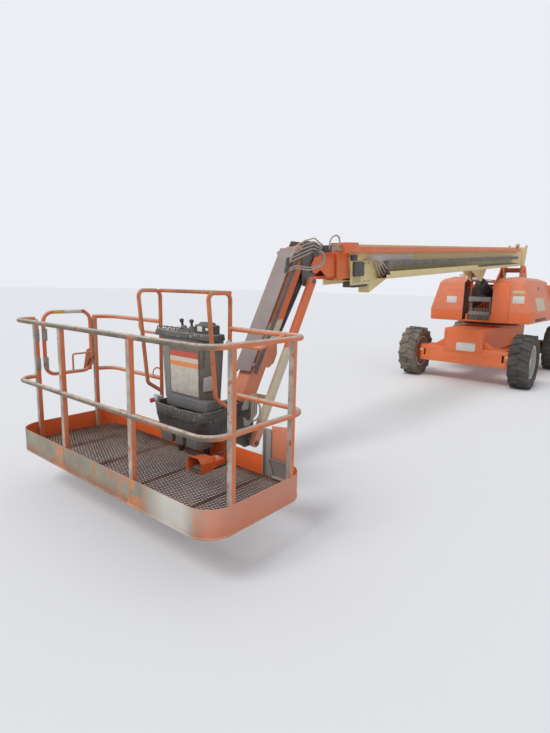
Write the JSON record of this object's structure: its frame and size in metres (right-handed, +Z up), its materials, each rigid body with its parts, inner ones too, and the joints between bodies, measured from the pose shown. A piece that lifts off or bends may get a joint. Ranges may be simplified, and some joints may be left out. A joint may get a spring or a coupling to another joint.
{
  "type": "telescopic boom lift",
  "caption": "Self-propelled telescopic boom lift with a swinging turntable, a telescoping boom, a jib and a railed work platform.",
  "frame": {"origin": "on the ground, under the middle of the whole machine's box", "axes": "+X along the boom towards the platform, +Y to the left of that, +Z up"},
  "size_m": [12.178, 2.535, 2.9682],
  "materials": {
    "chrome_rod": "ground and chromed",
    "cream_paint": "cream paint",
    "dark_steel": "dark paint",
    "floor_steel": "rusty expanded metal",
    "grey_plastic": "dusty moulded plastic",
    "jib_cover": "dirty mauve grey paint",
    "orange_paint": "worn orange paint",
    "rim_paint": "pale rim paint",
    "track_plastic": "grey-brown carrier chain",
    "tyre_rubber": "dusty lugged tyre"
  },
  "bodies": {
    "root": {"chassis_frame": "orange_paint", "axle_fixed": "orange_paint", "axle_steer": "orange_paint", "swing_bearing": "dark_steel"},
    "knuckle_left": {"knuckle_left": "dark_steel"},
    "knuckle_right": {"knuckle_right": "dark_steel"},
    "tie_rod": {"tie_rod": "dark_steel"},
    "wheel_fixed_left": {"tyre_fixed_left": "tyre_rubber", "rim_fixed_left": "rim_paint"},
    "wheel_fixed_right": {"tyre_fixed_right": "tyre_rubber", "rim_fixed_right": "rim_paint"},
    "wheel_steer_left": {"tyre_steer_left": "tyre_rubber", "rim_steer_left": "rim_paint"},
    "wheel_steer_right": {"tyre_steer_right": "tyre_rubber", "rim_steer_right": "rim_paint"},
    "turntable": {"turntable_frame": "orange_paint", "counterweight": "orange_paint", "front_panel": "orange_paint", "engine": "dark_steel", "fuel_tank": "dark_steel", "valve_bank": "dark_steel"},
    "hood_left": {"hood_left": "orange_paint"},
    "hood_right": {"hood_right": "orange_paint"},
    "boom_base": {"boom_base": "cream_paint", "track_tray": "cream_paint", "power_track": "track_plastic"},
    "boom_mid": {"boom_mid": "cream_paint"},
    "boom_fly": {"boom_fly": "orange_paint", "push_tube": "orange_paint"},
    "lift_barrel": {"lift_barrel": "dark_steel"},
    "lift_rod": {"lift_rod": "chrome_rod"},
    "jib_knuckle": {"jib_knuckle": "dark_steel"},
    "jib": {"jib_tube": "orange_paint", "hose_cover": "jib_cover"},
    "jib_link": {"jib_link": "orange_paint"},
    "jib_barrel": {"jib_barrel": "dark_steel"},
    "jib_rod": {"jib_rod": "chrome_rod"},
    "jib_support": {"jib_support": "orange_paint", "rotator": "dark_steel"},
    "platform": {"platform_frame": "orange_paint", "platform_bracket": "orange_paint", "platform_floor": "floor_steel", "console": "grey_plastic", "foot_switch": "orange_paint"},
    "gate": {"gate": "orange_paint"}
  },
  "joints": [
    {"name": "steer_left", "type": "hinge", "parent": "root", "child": "knuckle_left", "pos_m": [-5.184, 0.77, 0.5], "axis": [0, 0, 1], "range_deg": [-30, 30]},
    {"name": "steer_right", "type": "hinge", "parent": "root", "child": "knuckle_right", "pos_m": [-5.184, -0.77, 0.5], "axis": [0, 0, 1], "range_deg": [-30, 30]},
    {"name": "tie_rod_shift", "type": "slide", "parent": "root", "child": "tie_rod", "axis": [0, -1, 0], "range_m": [-0.1205, 0.1205]},
    {"name": "wheel_fixed_left_roll", "type": "hinge", "parent": "root", "child": "wheel_fixed_left", "pos_m": [-2.134, 1.08, 0.515], "axis": [0, 1, 0], "continuous": true},
    {"name": "wheel_fixed_right_roll", "type": "hinge", "parent": "root", "child": "wheel_fixed_right", "pos_m": [-2.134, -1.08, 0.515], "axis": [0, 1, 0], "continuous": true},
    {"name": "wheel_steer_left_roll", "type": "hinge", "parent": "knuckle_left", "child": "wheel_steer_left", "pos_m": [-5.184, 1.08, 0.515], "axis": [0, 1, 0], "continuous": true},
    {"name": "wheel_steer_right_roll", "type": "hinge", "parent": "knuckle_right", "child": "wheel_steer_right", "pos_m": [-5.184, -1.08, 0.515], "axis": [0, 1, 0], "continuous": true},
    {"name": "swing", "type": "hinge", "parent": "root", "child": "turntable", "pos_m": [-3.659, 0, 1.182], "axis": [0, 0, 1], "continuous": true},
    {"name": "hood_left_open", "type": "hinge", "parent": "turntable", "child": "hood_left", "pos_m": [-3.659, 0.289, 2.08], "axis": [1, 0, 0], "range_deg": [0, 65]},
    {"name": "hood_right_open", "type": "hinge", "parent": "turntable", "child": "hood_right", "pos_m": [-3.659, -0.289, 2.08], "axis": [-1, 0, 0], "range_deg": [0, 65]},
    {"name": "lift", "type": "hinge", "parent": "turntable", "child": "boom_base", "pos_m": [-5.139, 0, 2.34], "axis": [0, -1, 0], "range_deg": [0, 79]},
    {"name": "telescope", "type": "slide", "parent": "boom_base", "child": "boom_mid", "axis": [0.9976, 0, -0.0698], "range_m": [0, 6.5]},
    {"name": "fly_slide", "type": "slide", "parent": "boom_mid", "child": "boom_fly", "axis": [0.9976, 0, -0.0698], "range_m": [0, 6.5]},
    {"name": "lift_barrel_turn", "type": "hinge", "parent": "turntable", "child": "lift_barrel", "pos_m": [-4.509, 0, 1.42], "axis": [0, -1, 0], "range_deg": [0, 70.53]},
    {"name": "lift_rod_slide", "type": "slide", "parent": "lift_barrel", "child": "lift_rod", "axis": [0.9559, 0, 0.2938], "range_m": [0, 1.3537]},
    {"name": "jib_level", "type": "hinge", "parent": "boom_fly", "child": "jib_knuckle", "pos_m": [3.511, 0, 2.03], "axis": [0, -1, 0], "range_deg": [-79.01, 0]},
    {"name": "jib_lift", "type": "hinge", "parent": "jib_knuckle", "child": "jib", "pos_m": [3.643, 0, 2.209], "axis": [0, -1, 0], "range_deg": [0, 130]},
    {"name": "jib_link_turn", "type": "hinge", "parent": "jib_knuckle", "child": "jib_link", "pos_m": [3.62625, 0, 1.88944], "axis": [0, -1, 0], "range_deg": [0, 130.01]},
    {"name": "jib_barrel_turn", "type": "hinge", "parent": "jib_knuckle", "child": "jib_barrel", "pos_m": [3.62625, 0, 1.88944], "axis": [0, -1, 0], "range_deg": [0, 125.57]},
    {"name": "jib_rod_slide", "type": "slide", "parent": "jib_barrel", "child": "jib_rod", "axis": [0.5533, 0, -0.833], "range_m": [0, 0.57323]},
    {"name": "support_level", "type": "hinge", "parent": "jib", "child": "jib_support", "pos_m": [4.51081, 0, 0.64343], "axis": [0, -1, 0], "range_deg": [-130.01, 0]},
    {"name": "platform_rotate", "type": "hinge", "parent": "jib_support", "child": "platform", "pos_m": [4.871, 0, 0.35387], "axis": [0, 0, 1], "range_deg": [-90, 90]},
    {"name": "gate_open", "type": "hinge", "parent": "platform", "child": "gate", "pos_m": [5.819, -1.238, 1.492], "axis": [0, 0, -1], "range_deg": [0, 85]}
  ],
  "couplings": [
    {"joint": "steer_right", "follows": "steer_left", "ratio": 1},
    {"joint": "tie_rod_shift", "follows": "steer_left", "m_per_rad": -0.22918},
    {"joint": "fly_slide", "follows": "telescope", "ratio": 1},
    {"joint": "jib_level", "follows": "lift", "ratio": -1},
    {"joint": "lift_barrel_turn", "follows": "lift", "ratio": 0.89272},
    {"joint": "lift_rod_slide", "follows": "lift", "m_per_rad": 0.98142},
    {"joint": "jib_link_turn", "follows": "jib_lift", "ratio": 1},
    {"joint": "jib_barrel_turn", "follows": "jib_lift", "ratio": 0.96582},
    {"joint": "jib_rod_slide", "follows": "jib_lift", "m_per_rad": 0.25242},
    {"joint": "support_level", "follows": "jib_lift", "ratio": -1}
  ]
}
